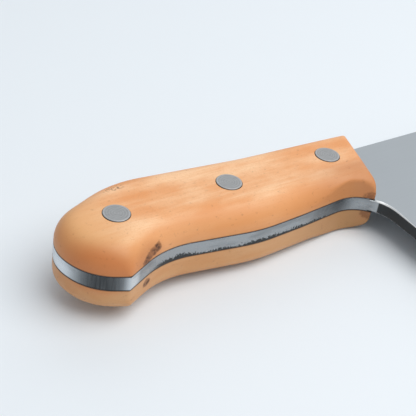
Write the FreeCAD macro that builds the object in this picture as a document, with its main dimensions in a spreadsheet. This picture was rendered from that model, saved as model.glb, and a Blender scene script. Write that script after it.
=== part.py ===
"""Meat cleaver: one forged blade and tang, two wooden scales, cement beds and three cutler's rivets.

Millimetres. X runs from the butt of the handle to the front of the blade, Y from the cutting edge to
the spine, Z through the thickness. Outlines are drawn about the middle rivet on the middle plane of
the steel, and every piece is then placed so that the knife lies on Z = 0, centred on its box.
"""

import FreeCAD, Part
import math
import os

import Sketcher

# Driving dimensions: alias, value in millimetres, what it is.
DIMENSIONS = [
    ("steel_thick", 5.0, "blade spine and tang"),
    ("bed_thick", 0.2, "cement between tang and scale"),
    ("scale_thick", 8.8, "one wooden scale"),
    ("rivet_pitch", 42.0, "between neighbouring rivets"),
    ("head_dia", 8.8, "rivet head"),
    ("head_thick", 1.8, "rivet head below its crown"),
    ("head_crown", 0.3, "crown of a rivet head above the wood"),
    ("head_gap", 0.06, "clearance round a rivet head"),
    ("sleeve_dia", 6.0, "outside of the rivet sleeve"),
    ("pin_dia", 4.0, "rivet pin, driven into the sleeve"),
    ("sleeve_short", 1.2, "gap between sleeve end and upper head"),
    ("pin_short", 1.5, "gap between pin end and lower head"),
    ("spine_rise", 10.0, "spine above the rivet line"),
    ("wood_front", 58.6, "front of the scales at the spine"),
    ("waist_ahead", 12.0, "where the back of the handle starts to rise"),
    ("waist_rise", 13.3, "height of the back there"),
    ("waist_round", 150.0, "hollow of the back"),
    ("hump_behind", 35.0, "hump of the back, behind the middle rivet"),
    ("hump_rise", 19.3, "height where the hump's tangents meet"),
    ("hump_round", 40.0, "hump radius"),
    ("butt_behind", 64.2, "upper corner of the butt"),
    ("butt_rise", 8.0, "height of that corner"),
    ("butt_round", 14.5, "radius of the upper butt"),
    ("tail_behind", 58.4, "lower corner of the butt"),
    ("tail_drop", 13.6, "depth of that corner"),
    ("tail_round", 18.0, "radius of the lower butt"),
    ("beak_behind", 47.0, "beak that stops the little finger"),
    ("beak_drop", 18.8, "depth of the beak"),
    ("hollow_behind", 30.3, "hollow ahead of the beak"),
    ("hollow_drop", 11.1, "depth where the hollow's tangents meet"),
    ("hollow_round", 31.0, "radius of the hollow"),
    ("belly_ahead", 3.0, "belly of the handle"),
    ("belly_drop", 16.5, "depth where the belly's tangents meet"),
    ("belly_round", 60.0, "radius of the belly"),
    ("throat_ahead", 29.7, "narrowest place, behind the front flare"),
    ("throat_drop", 14.9, "depth where the throat's tangents meet"),
    ("throat_round", 20.0, "radius of the throat"),
    ("flare_ahead", 50.0, "lower front corner of the scales"),
    ("flare_drop", 19.2, "depth of that corner"),
    ("face_ahead", 54.0, "middle of the scales' front face"),
    ("face_drop", 6.0, "depth of that middle"),
    ("face_round", 40.0, "crown of the front face"),
    ("tang_tuck", 1.5, "front of the square tang behind the front of the scales"),
    ("notch_start", 18.0, "where the finger notch starts"),
    ("notch_start_drop", 15.7, "depth of that place"),
    ("notch_drop", 12.6, "depth where the notch's tangents meet"),
    ("notch_round", 13.6, "radius of the finger notch"),
    ("heel_ahead", 52.9, "heel of the blade"),
    ("blade_length", 192.0, "heel to front"),
    ("blade_height", 95.0, "spine to edge"),
    ("heel_round", 1.5, "lower heel corner"),
    ("toe_round", 10.0, "lower front corner"),
    ("point_round", 14.0, "upper front corner"),
    ("front_rake", 4.0, "front leans back by this much at the edge"),
    ("grind_drop", 24.0, "start of the wedge grind below the rivet line"),
    ("shoulder_thick", 1.8, "steel where the edge bevel starts"),
    ("bevel_wide", 3.2, "width of the edge bevel"),
    ("edge_thick", 0.3, "steel left at the cutting edge"),
    ("arris", 0.5, "chamfer on the exposed steel"),
    ("hang_dia", 11.0, "hanging hole"),
    ("hang_from_front", 21.0, "hanging hole from the front"),
    ("hang_from_spine", 19.0, "hanging hole from the spine"),
    ("ease_land", 0.3, "upright wall that every rounding of a scale leaves"),
    ("face_spine_ease", 2.0, "rounding of the scales' front face at the spine"),
    ("face_flare_ease", 4.5, "rounding of the scales' front face at the flare"),
    ("upper_back_ease", 3.2, "rounding of the upper scale's back at the blade"),
    ("upper_hump_ease", 6.5, "rounding of the upper scale's back at the hump"),
    ("upper_butt_ease", 8.0, "rounding of the upper scale's butt"),
    ("upper_belly_ease", 8.2, "rounding of the upper scale's belly"),
    ("upper_flare_ease", 8.2, "rounding of the upper scale's belly at the front"),
    ("lower_back_ease", 3.2, "rounding of the lower scale's back at the blade"),
    ("lower_hump_ease", 4.2, "rounding of the lower scale's back at the hump"),
    ("lower_butt_ease", 5.2, "rounding of the lower scale's butt"),
    ("lower_belly_ease", 3.2, "rounding of the lower scale's belly"),
    ("lower_flare_ease", 7.5, "rounding of the lower scale's belly at the front"),
]

# Corners of the outlines, as expressions on the sheet: X, Y and the radius of the corner.
# The scales and the tang share the handle's outline from the spine round the butt to the flare.
HANDLE = [
    ("sizes.waist_ahead", "sizes.waist_rise", "sizes.waist_round"),
    ("-sizes.hump_behind", "sizes.hump_rise", "sizes.hump_round"),
    ("-sizes.butt_behind", "sizes.butt_rise", "sizes.butt_round"),
    ("-sizes.tail_behind", "-sizes.tail_drop", "sizes.tail_round"),
    ("-sizes.beak_behind", "-sizes.beak_drop", None),
    ("-sizes.hollow_behind", "-sizes.hollow_drop", "sizes.hollow_round"),
    ("sizes.belly_ahead", "-sizes.belly_drop", "sizes.belly_round"),
    ("sizes.throat_ahead", "-sizes.throat_drop", "sizes.throat_round"),
]
SCALE_FRONT = [
    ("sizes.flare_ahead", "-sizes.flare_drop", None),
    ("sizes.face_ahead", "-sizes.face_drop", "sizes.face_round"),
    ("sizes.wood_front", "sizes.spine_rise", None),
]
TANG_FRONT = [
    ("sizes.flare_ahead - sizes.tang_tuck", "-sizes.flare_drop", None),
    ("sizes.face_ahead - sizes.tang_tuck", "-sizes.face_drop", "sizes.face_round"),
    ("sizes.wood_front - sizes.tang_tuck", "sizes.spine_rise", None),
]
# The finger notch runs from the belly, round a quarter circle, into the heel of the blade.
NOTCH_EDGE = [
    ("sizes.notch_start", "-sizes.notch_start_drop", None),
    ("sizes.heel_ahead", "-sizes.notch_drop", "sizes.notch_round"),
]
EDGE_Y = "(sizes.spine_rise - sizes.blade_height)"
FRONT_X = "(sizes.heel_ahead + sizes.blade_length)"
NOTCH_CUTTER = NOTCH_EDGE + [
    ("sizes.heel_ahead", f"{EDGE_Y} / 2", None),
    ("sizes.notch_start", f"{EDGE_Y} / 2", None),
]
PLATE = NOTCH_EDGE + [
    ("sizes.heel_ahead", EDGE_Y, "sizes.heel_round"),
    (f"{FRONT_X} - sizes.front_rake", EDGE_Y, "sizes.toe_round"),
    (FRONT_X, "sizes.spine_rise", "sizes.point_round"),
    ("sizes.notch_start", "sizes.spine_rise", None),
]
RIVETS = {"rear": -1, "middle": 0, "front": 1}
UPPER_FACE = "(sizes.steel_thick / 2 + sizes.bed_thick + sizes.scale_thick)"

doc = FreeCAD.newDocument("cleaver")
sheet = doc.addObject("Spreadsheet::Sheet", "sizes")
for row, (alias, value, meaning) in enumerate(DIMENSIONS, start=1):
    sheet.set(f"A{row}", meaning)
    sheet.set(f"B{row}", str(value))
    sheet.setAlias(f"B{row}", alias)
doc.recompute()


def number(expression):
    """The value of an expression on the sheet."""
    return float(sheet.evalExpression(expression))


def place(expression_x, expression_y):
    """A point of a sketch."""
    return FreeCAD.Vector(number(expression_x), number(expression_y), 0)


def plane(body, role):
    """One of the body's own origin planes."""
    return next(feature for feature in body.Origin.OriginFeatures if feature.Role == role)


def new_body(name):
    """An empty body."""
    return doc.addObject("PartDesign::Body", name)


def new_sketch(body, name, role="XY_Plane"):
    """An empty sketch on one of the body's origin planes."""
    sketch = body.newObject("Sketcher::SketchObject", name)
    sketch.AttachmentSupport = [(plane(body, role), "")]
    sketch.MapMode = "FlatFace"
    return sketch


def bind(sketch, constraint, expression):
    """Adds a dimension to a sketch and ties it to an expression."""
    index = sketch.addConstraint(constraint)
    name = f"size_{index}"
    sketch.renameConstraint(index, name)
    sketch.setExpression(f"Constraints.{name}", expression)


def pin(sketch, geometry, point, expression_x, expression_y):
    """Fixes a point of a sketch at two expressions."""
    where = place(expression_x, expression_y)
    bind(sketch, Sketcher.Constraint("DistanceX", -1, 1, geometry, point, where.x), expression_x)
    bind(sketch, Sketcher.Constraint("DistanceY", -1, 1, geometry, point, where.y), expression_y)


def corner_arc(before, corner, after, radius):
    """The arc that rounds a corner, and the two points where it meets the straights."""
    back = (before - corner).normalize()
    ahead = (after - corner).normalize()
    half = back.getAngle(ahead) / 2
    reach = radius / math.tan(half)
    start = corner + back * reach
    end = corner + ahead * reach
    inward = (back + ahead).normalize()
    middle = corner + inward * (radius / math.sin(half) - radius)
    return Part.Arc(start, middle, end), start, end


def outline(sketch, corners):
    """Draws a closed outline of straights and tangent arcs through corners (x, y, radius or None)."""
    count = len(corners)
    points = [place(x, y) for x, y, _ in corners]
    marks, arcs, leaves, enters = [], [], [], []
    for index, (x, y, radius) in enumerate(corners):
        mark = sketch.addGeometry(Part.Point(points[index]), True)
        pin(sketch, mark, 1, x, y)
        marks.append(mark)
        if radius is None:
            arcs.append(None)
            enters.append(points[index])
            leaves.append(points[index])
            continue
        arc, start, end = corner_arc(
            points[index - 1], points[index], points[(index + 1) % count], number(radius)
        )
        circle = Part.ArcOfCircle(start, arc.value(arc.FirstParameter / 2 + arc.LastParameter / 2), end)
        arcs.append(sketch.addGeometry(circle, False))
        enters.append(start)
        leaves.append(end)
    lines = [
        sketch.addGeometry(Part.LineSegment(leaves[index], enters[(index + 1) % count]), False)
        for index in range(count)
    ]
    for index, (x, y, radius) in enumerate(corners):
        arriving = lines[index - 1]
        leaving = lines[index]
        if radius is None:
            sketch.addConstraint(Sketcher.Constraint("Coincident", arriving, 2, marks[index], 1))
            sketch.addConstraint(Sketcher.Constraint("Coincident", leaving, 1, marks[index], 1))
            continue
        sketch.addConstraint(Sketcher.Constraint("PointOnObject", marks[index], 1, arriving))
        sketch.addConstraint(Sketcher.Constraint("PointOnObject", marks[index], 1, leaving))
        first, last = arc_ends(sketch, arcs[index], enters[index])
        sketch.addConstraint(Sketcher.Constraint("Tangent", arriving, 2, arcs[index], first))
        sketch.addConstraint(Sketcher.Constraint("Tangent", leaving, 1, arcs[index], last))
        bind(sketch, Sketcher.Constraint("Radius", arcs[index], number(radius)), radius)


def arc_ends(sketch, arc, start):
    """Which end of a sketched arc is its start: arcs always run counter-clockwise."""
    first_end = sketch.getPoint(arc, 1)
    return (1, 2) if first_end.distanceToPoint(start) < 1e-6 else (2, 1)


def circle(sketch, expression_x, expression_y, diameter):
    """Draws one hole."""
    ring = Part.Circle(place(expression_x, expression_y), FreeCAD.Vector(0, 0, 1), number(diameter) / 2)
    geometry = sketch.addGeometry(ring, False)
    pin(sketch, geometry, 3, expression_x, expression_y)
    bind(sketch, Sketcher.Constraint("Diameter", geometry, number(diameter)), diameter)


def pad(body, sketch, thickness, symmetric=False, reverse=False):
    """Pads a sketch by an expression."""
    feature = body.newObject("PartDesign::Pad", f"{sketch.Name}_pad")
    feature.Profile = sketch
    feature.SideType = "Symmetric" if symmetric else "One side"
    feature.Reversed = reverse
    feature.setExpression("Length", thickness)
    doc.recompute()
    return feature


def pocket(body, sketch, depth="sizes.steel_thick * 4"):
    """Cuts a sketch through the body, both ways from its plane, and checks that it did cut."""
    before = body.Shape.Volume
    feature = body.newObject("PartDesign::Pocket", f"{sketch.Name}_cut")
    feature.Profile = sketch
    feature.SideType = "Symmetric"
    feature.setExpression("Length", depth)
    doc.recompute()
    if not body.Shape.Volume < before:
        raise RuntimeError(f"{feature.Name} cut nothing")
    return feature


def rivet_holes(body, name, diameter):
    """Cuts the row of rivet holes through the body."""
    sketch = new_sketch(body, f"{name}_rivet_holes")
    for step in RIVETS.values():
        circle(sketch, f"{step} * sizes.rivet_pitch", "0 * sizes.rivet_pitch", diameter)
    pocket(body, sketch)


def finger_notch(body, name):
    """Cuts the finger notch through the body."""
    sketch = new_sketch(body, f"{name}_notch")
    outline(sketch, NOTCH_CUTTER)
    pocket(body, sketch)


def wedge_grind(body):
    """Grinds both cheeks of the blade down to the edge, with a steeper bevel along it."""
    for side in (1, -1):
        sketch = new_sketch(body, "upper_grind" if side > 0 else "lower_grind", "YZ_Plane")
        cheek = f"{side} * sizes.steel_thick / 2"
        clear = f"{side} * sizes.steel_thick"
        outline(
            sketch,
            [
                ("-sizes.grind_drop", cheek, None),
                (f"{EDGE_Y} + sizes.bevel_wide", f"{side} * sizes.shoulder_thick / 2", None),
                (EDGE_Y, f"{side} * sizes.edge_thick / 2", None),
                (f"{EDGE_Y} - sizes.bevel_wide", f"{side} * sizes.edge_thick / 2", None),
                (f"{EDGE_Y} - sizes.bevel_wide", clear, None),
                ("-sizes.grind_drop", clear, None),
            ],
        )
        pocket(body, sketch, f"4 * {FRONT_X}")


def blade():
    """The forged steel: blade plate with eased arrises, then the square tang, notch and holes."""
    body = new_body("blade")
    plate = new_sketch(body, "plate")
    outline(plate, PLATE)
    plate_pad = pad(body, plate, "sizes.steel_thick", symmetric=True)
    chamfer = body.newObject("PartDesign::Chamfer", "arrises")
    flats = [
        f"Face{index}"
        for index, face in enumerate(plate_pad.Shape.Faces, start=1)
        if abs(face.normalAt(0, 0).z) > 0.9
    ]
    chamfer.Base = (plate_pad, flats)
    chamfer.setExpression("Size", "sizes.arris")
    doc.recompute()
    wedge_grind(body)
    hang = new_sketch(body, "hanging_hole")
    hang_x = f"{FRONT_X} - sizes.hang_from_front"
    circle(hang, hang_x, "sizes.spine_rise - sizes.hang_from_spine", "sizes.hang_dia")
    pocket(body, hang)
    tang = new_sketch(body, "tang")
    outline(tang, HANDLE + TANG_FRONT)
    pad(body, tang, "sizes.steel_thick", symmetric=True)
    finger_notch(body, "tang")
    rivet_holes(body, "tang", "sizes.sleeve_dia")
    return body


def eases(layer, *names):
    """Rounding radii from the sheet, each no larger than the scale's wall allows."""
    wall = number("sizes.scale_thick - sizes.ease_land")
    return [min(wall, number(f"sizes.{layer}_{name}_ease")) for name in names]


def back_ease(layer, point):
    """Rounding radius of a scale's back and butt at a point of its outline."""
    hump_x = -number("sizes.hump_behind")
    back, hump, butt = eases(layer, "back", "hump", "butt")
    front_x = number("sizes.wood_front")
    flat_x = hump_x + number("sizes.hump_round") / 3
    if point.x > flat_x:
        return hump + (back - hump) * (point.x - flat_x) / (front_x - flat_x)
    if point.y < 0:
        return butt
    return hump + (butt - hump) * min(1.0, (flat_x - point.x) / (number("sizes.butt_behind") + hump_x))


def belly_ease(layer, point):
    """Rounding radius of a scale's belly at a point of its outline: it changes from the throat on."""
    belly, flare = eases(layer, "belly", "flare")
    start_x = number("sizes.throat_ahead")
    share = (point.x - start_x) / (number("sizes.flare_ahead") - start_x)
    return belly + (flare - belly) * min(1.0, max(0.0, share))


def face_ease(point):
    """Rounding radius of the scales' front face at a point of its outline."""
    spine, flare = eases("face", "spine", "flare")
    top, bottom = number("sizes.spine_rise"), -number("sizes.flare_drop")
    return flare + (spine - flare) * (point.y - bottom) / (top - bottom)


def eased_edges(layer, shape, outer_z):
    """The outer edges of a scale blank with their two radii: front face, belly, back and butt."""
    front_x = number("sizes.flare_ahead")
    beak = place("-sizes.beak_behind", "-sizes.beak_drop")
    found = []
    for index, edge in enumerate(shape.Edges, start=1):
        start = edge.valueAt(edge.FirstParameter)
        end = edge.valueAt(edge.LastParameter)
        if abs(start.z - outer_z) > 1e-6 or abs(end.z - outer_z) > 1e-6:
            continue
        if min(start.x, end.x) >= front_x - 1e-6:
            found.append((index, face_ease(start), face_ease(end)))
        elif max(start.y, end.y) < 0 and min(start.x, end.x) >= beak.x - 1e-6:
            found.append((index, belly_ease(layer, start), belly_ease(layer, end)))
        else:
            found.append((index, back_ease(layer, start), back_ease(layer, end)))
    return found


def cylinder(name, radius, height, x, z):
    """An upright cylinder on the rivet line."""
    solid = doc.addObject("Part::Cylinder", name)
    solid.setExpression("Radius", radius)
    solid.setExpression("Height", height)
    solid.setExpression("Placement.Base.x", x)
    solid.setExpression("Placement.Base.z", z)
    return solid


def scale(layer, side):
    """A wooden scale: outline padded away from the tang, rounded, then notched and bored for rivets."""
    name = f"{layer}_scale"
    body = new_body(f"{name}_blank")
    sketch = new_sketch(body, f"{name}_outline")
    outline(sketch, HANDLE + SCALE_FRONT)
    pad(body, sketch, "sizes.scale_thick", reverse=side < 0)
    rounded = doc.addObject("Part::Fillet", f"{name}_rounded")
    rounded.Base = body
    rounded.Edges = eased_edges(layer, body.Shape, side * number("sizes.scale_thick"))
    notch = new_body(f"{name}_notch_tool")
    notch_sketch = new_sketch(notch, f"{name}_notch_outline")
    outline(notch_sketch, NOTCH_CUTTER)
    pad(notch, notch_sketch, "4 * sizes.scale_thick", symmetric=True)
    tools = [notch]
    bore_radius = "sizes.sleeve_dia / 2"
    seat_radius = "sizes.head_dia / 2 + sizes.head_gap"
    bore_high = "4 * sizes.scale_thick"
    bore_low = "-2 * sizes.scale_thick"
    seat_high = "2 * sizes.head_thick"
    seat_low = f"{side} * sizes.scale_thick - sizes.head_thick"
    for rivet, step in RIVETS.items():
        across = f"{step} * sizes.rivet_pitch"
        tools.append(cylinder(f"{name}_{rivet}_bore", bore_radius, bore_high, across, bore_low))
        tools.append(cylinder(f"{name}_{rivet}_seat", seat_radius, seat_high, across, seat_low))
    cutter = doc.addObject("Part::MultiFuse", f"{name}_cutter")
    cutter.Shapes = tools
    cut = doc.addObject("Part::Cut", name)
    cut.Base = rounded
    cut.Tool = cutter
    doc.recompute()
    return cut


def bedding(name, side):
    """The thin layer of cutler's cement between the tang and one scale."""
    body = new_body(name)
    sketch = new_sketch(body, f"{name}_outline")
    outline(sketch, HANDLE + SCALE_FRONT)
    pad(body, sketch, "sizes.bed_thick", reverse=side < 0)
    finger_notch(body, name)
    rivet_holes(body, name, "sizes.sleeve_dia")
    return body


def turned(name, profile):
    """A body turned about the Z axis from a profile of (radius, height, corner radius)."""
    body = new_body(name)
    sketch = new_sketch(body, f"{name}_profile", "XZ_Plane")
    outline(sketch, profile)
    turn = body.newObject("PartDesign::Revolution", f"{name}_turn")
    turn.Profile = sketch
    turn.ReferenceAxis = (sketch, ["V_Axis"])
    turn.Angle = 360
    doc.recompute()
    return body


HEAD_TOP = f"({UPPER_FACE} + sizes.head_crown)"
HEAD_UNDER = f"({UPPER_FACE} - sizes.head_thick)"


def rivet_post(name):
    """The male half: a head on the upper scale and a pin down the sleeve."""
    pin_end = f"-{HEAD_UNDER} + sizes.pin_short"
    profile = [
        ("0 * sizes.pin_dia", pin_end, None),
        ("sizes.pin_dia / 2", pin_end, None),
        ("sizes.pin_dia / 2", HEAD_UNDER, None),
        ("sizes.head_dia / 2", HEAD_UNDER, None),
        ("sizes.head_dia / 2", HEAD_TOP, "sizes.head_crown"),
        ("0 * sizes.pin_dia", HEAD_TOP, None),
    ]
    return turned(name, profile)


def rivet_sleeve(name):
    """The female half: a head on the lower scale and a tube that grips the pin."""
    sleeve_end = f"{HEAD_UNDER} - sizes.sleeve_short"
    profile = [
        ("0 * sizes.pin_dia", f"-{HEAD_TOP}", None),
        ("sizes.head_dia / 2", f"-{HEAD_TOP}", "sizes.head_crown"),
        ("sizes.head_dia / 2", f"-{HEAD_UNDER}", None),
        ("sizes.sleeve_dia / 2", f"-{HEAD_UNDER}", None),
        ("sizes.sleeve_dia / 2", sleeve_end, None),
        ("sizes.pin_dia / 2", sleeve_end, None),
        ("sizes.pin_dia / 2", f"-{HEAD_UNDER}", None),
        ("0 * sizes.pin_dia", f"-{HEAD_UNDER}", None),
    ]
    return turned(name, profile)


def centre_of(steel):
    """Adds the middle of the steel's box, in X and Y, to the sheet as worked-out cells."""
    box = steel.Shape.BoundBox
    first_row = len(DIMENSIONS) + 1
    for row, (alias, value) in enumerate((("centre_x", box.Center.x), ("centre_y", box.Center.y)), first_row):
        sheet.set(f"A{row}", "middle of the steel's box")
        sheet.set(f"B{row}", str(value))
        sheet.setAlias(f"B{row}", alias)
    doc.recompute()


def settle(piece, label, along="0 * sizes.rivet_pitch", up="0 * sizes.steel_thick"):
    """Names a finished piece and places it in the knife's own frame."""
    piece.Label = label
    piece.setExpression("Placement.Base.x", f"{along} - sizes.centre_x")
    piece.setExpression("Placement.Base.y", "-sizes.centre_y")
    piece.setExpression("Placement.Base.z", f"{HEAD_TOP} + {up}")
    return piece


def assemble():
    """Builds and places every piece of the knife."""
    steel = blade()
    centre_of(steel)
    pieces = [settle(steel, "blade")]
    for layer, side in (("upper", 1), ("lower", -1)):
        tang_face = f"{side} * sizes.steel_thick / 2"
        bed = bedding(f"{layer}_bedding", side)
        pieces.append(settle(bed, bed.Name, up=tang_face))
        wood = scale(layer, side)
        pieces.append(settle(wood, wood.Name, up=f"{tang_face} + {side} * sizes.bed_thick"))
    for rivet, step in RIVETS.items():
        along = f"{step} * sizes.rivet_pitch"
        for half, make in (("post", rivet_post), ("sleeve", rivet_sleeve)):
            piece = make(f"{rivet}_rivet_{half}")
            pieces.append(settle(piece, piece.Name, along=along))
    doc.recompute()
    return pieces


def check(pieces):
    """Stops if any object of the document failed or any piece is not one valid solid."""
    for thing in doc.Objects:
        if "Invalid" in thing.State or "Error" in thing.State:
            raise RuntimeError(f"{thing.Name} failed: {thing.State}")
    for piece in pieces:
        shape = piece.Shape
        if shape.isNull() or not shape.isValid() or len(shape.Solids) != 1:
            raise RuntimeError(f"{piece.Label} is not one valid solid")


def write(pieces):
    """Writes one STEP file for each piece."""
    os.makedirs("parts", exist_ok=True)
    for piece in pieces:
        piece.Shape.exportStep(f"parts/{piece.Label}.step")


knife = assemble()
check(knife)
write(knife)
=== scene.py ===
"""Meat cleaver with a riveted wooden handle: the finished looks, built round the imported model."""

import math

import bmesh
import bpy
import numpy as np
from mathutils import Matrix, Vector


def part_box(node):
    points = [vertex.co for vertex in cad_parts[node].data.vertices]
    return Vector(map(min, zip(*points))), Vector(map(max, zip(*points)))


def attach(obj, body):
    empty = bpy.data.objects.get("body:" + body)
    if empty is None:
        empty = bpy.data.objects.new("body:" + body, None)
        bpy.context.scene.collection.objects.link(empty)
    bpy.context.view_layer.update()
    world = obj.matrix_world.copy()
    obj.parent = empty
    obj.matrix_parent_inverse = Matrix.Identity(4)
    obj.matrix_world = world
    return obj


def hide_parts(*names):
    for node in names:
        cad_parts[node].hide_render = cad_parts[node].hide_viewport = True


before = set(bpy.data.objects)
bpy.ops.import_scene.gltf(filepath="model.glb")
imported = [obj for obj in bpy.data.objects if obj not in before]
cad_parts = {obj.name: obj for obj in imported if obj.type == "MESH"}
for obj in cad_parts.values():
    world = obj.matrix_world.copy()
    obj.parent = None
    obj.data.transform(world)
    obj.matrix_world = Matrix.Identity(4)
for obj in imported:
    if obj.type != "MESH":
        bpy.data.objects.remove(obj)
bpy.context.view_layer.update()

bl_info = {
    "name": "Meat cleaver",
    "version": (1, 0, 0),
    "blender": (4, 5, 0),
    "location": "3D View > Sidebar > Cleaver",
    "description": "Builds the visible pieces of a riveted meat cleaver",
    "category": "Add Mesh",
}

MM = 0.001
BODY = "root"
PLACES = ("rear", "middle", "front")


def middle(corners):
    """The middle of a box given by its two corners."""
    return (corners[0] + corners[1]) / 2


STEEL_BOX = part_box("blade")
POSTS = {place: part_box(f"{place}_rivet_post") for place in PLACES}
SLEEVES = {place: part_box(f"{place}_rivet_sleeve") for place in PLACES}
MIDDLE_POST = middle(POSTS["middle"])
# Every pattern is laid out in millimetres from here: the middle rivet, halfway through the steel.
HANDLE_ORIGIN = Vector((MIDDLE_POST.x, MIDDLE_POST.y, middle(STEEL_BOX).z))
HALF_STEEL = (STEEL_BOX[1].z - STEEL_BOX[0].z) / 2
HEAD_RADIUS = (POSTS["middle"][1].x - POSTS["middle"][0].x) / 2
HEADS_TOP = POSTS["middle"][1].z


# ---------------------------------------------------------------- sizes and colours


class BladeSettings(bpy.types.PropertyGroup):
    """The steel of the blade and tang."""

    arris: bpy.props.FloatProperty(
        name="Arris",
        description="Width of the small flat where two ground faces meet",
        default=0.22 * MM,
        unit="LENGTH",
    )
    choil_arris: bpy.props.FloatProperty(
        name="Choil arris",
        description="Width of the wider flat ground along the choil",
        default=0.50 * MM,
        unit="LENGTH",
    )
    steel: bpy.props.FloatVectorProperty(
        name="Steel",
        description="Colour of the satin steel",
        default=(0.43, 0.455, 0.475),
        subtype="COLOR",
    )
    forge_scale: bpy.props.FloatVectorProperty(
        name="Forge scale",
        description="Colour of the black skin left from forging",
        default=(0.030, 0.035, 0.038),
        subtype="COLOR",
    )


class HandleSettings(bpy.types.PropertyGroup):
    """The two wooden scales and their cement."""

    pale: bpy.props.FloatVectorProperty(
        name="Pale wood",
        description="Colour of the pale bands of the long grain",
        default=(0.93, 0.595, 0.345),
        subtype="COLOR",
    )
    warm: bpy.props.FloatVectorProperty(
        name="Warm wood",
        description="Colour of the darker bands and blotches",
        default=(0.77, 0.322, 0.112),
        subtype="COLOR",
    )
    honey: bpy.props.FloatVectorProperty(
        name="Honey wood",
        description="Colour of the butt, yellowed by the hand",
        default=(0.75, 0.385, 0.155),
        subtype="COLOR",
    )
    end_grain: bpy.props.FloatVectorProperty(
        name="End grain",
        description="Colour where the fibres are cut across",
        default=(0.62, 0.212, 0.062),
        subtype="COLOR",
    )
    knot: bpy.props.FloatVectorProperty(
        name="Knot",
        description="Colour of the knot and its cracks",
        default=(0.035, 0.014, 0.012),
        subtype="COLOR",
    )
    facet: bpy.props.FloatProperty(
        name="Facet",
        description="Size of the even facets that the wood is sanded smooth with",
        default=0.5 * MM,
        unit="LENGTH",
    )
    seat_gap: bpy.props.FloatProperty(
        name="Seat gap",
        description="Clearance round a rivet head in its seat",
        default=0.06 * MM,
        unit="LENGTH",
    )


class RivetSettings(bpy.types.PropertyGroup):
    """The cutler's rivets."""

    edge_round: bpy.props.FloatProperty(
        name="Edge round",
        description="Rounding of a head's rim",
        default=0.3 * MM,
        unit="LENGTH",
    )
    ring_depth: bpy.props.FloatProperty(
        name="Ring depth",
        description="Depth of the rings left by turning",
        default=0.03 * MM,
        unit="LENGTH",
    )
    ring_step: bpy.props.FloatProperty(
        name="Ring step",
        description="Distance from one turning ring to the next",
        default=0.9 * MM,
        unit="LENGTH",
    )
    steel: bpy.props.FloatVectorProperty(
        name="Rivet steel",
        description="Colour of the rivet heads",
        default=(0.44, 0.44, 0.44),
        subtype="COLOR",
    )


class StageSettings(bpy.types.PropertyGroup):
    """Floor, light and camera."""

    floor: bpy.props.FloatVectorProperty(
        name="Floor",
        description="Colour of the table top",
        default=(0.80, 0.845, 0.885),
        subtype="COLOR",
    )
    light_power: bpy.props.FloatProperty(
        name="Light", description="Power of the overhead light", default=10.6, unit="POWER"
    )
    panel_power: bpy.props.FloatProperty(
        name="Panel", description="Power of the pale panel behind", default=3.7, unit="POWER"
    )
    sky: bpy.props.FloatProperty(
        name="Room light", description="Strength of the light of the room", default=0.46
    )


# ---------------------------------------------------------------- shader maths


class Value:
    """A number that varies over a surface; arithmetic on it adds Math nodes."""

    def __init__(self, recipe, socket):
        self.recipe = recipe
        self.socket = socket

    def _join(self, operation, first, second):
        node = self.recipe.node("ShaderNodeMath", {"operation": operation}, {0: first, 1: second})
        return Value(self.recipe, node.outputs[0])

    def __add__(self, other):
        return self._join("ADD", self, other)

    def __radd__(self, other):
        return self._join("ADD", other, self)

    def __sub__(self, other):
        return self._join("SUBTRACT", self, other)

    def __rsub__(self, other):
        return self._join("SUBTRACT", other, self)

    def __mul__(self, other):
        return self._join("MULTIPLY", self, other)

    def __rmul__(self, other):
        return self._join("MULTIPLY", other, self)

    def __truediv__(self, other):
        return self._join("DIVIDE", self, other)

    def __abs__(self):
        return self._join("ABSOLUTE", self, 0.0)

    def lowest(self, other):
        return self._join("MINIMUM", self, other)

    def highest(self, other):
        return self._join("MAXIMUM", self, other)

    def root(self):
        """The square root."""
        return self._join("POWER", self, 0.5)

    def sine(self):
        """The sine, of radians."""
        return self._join("SINE", self, 0.0)


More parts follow.
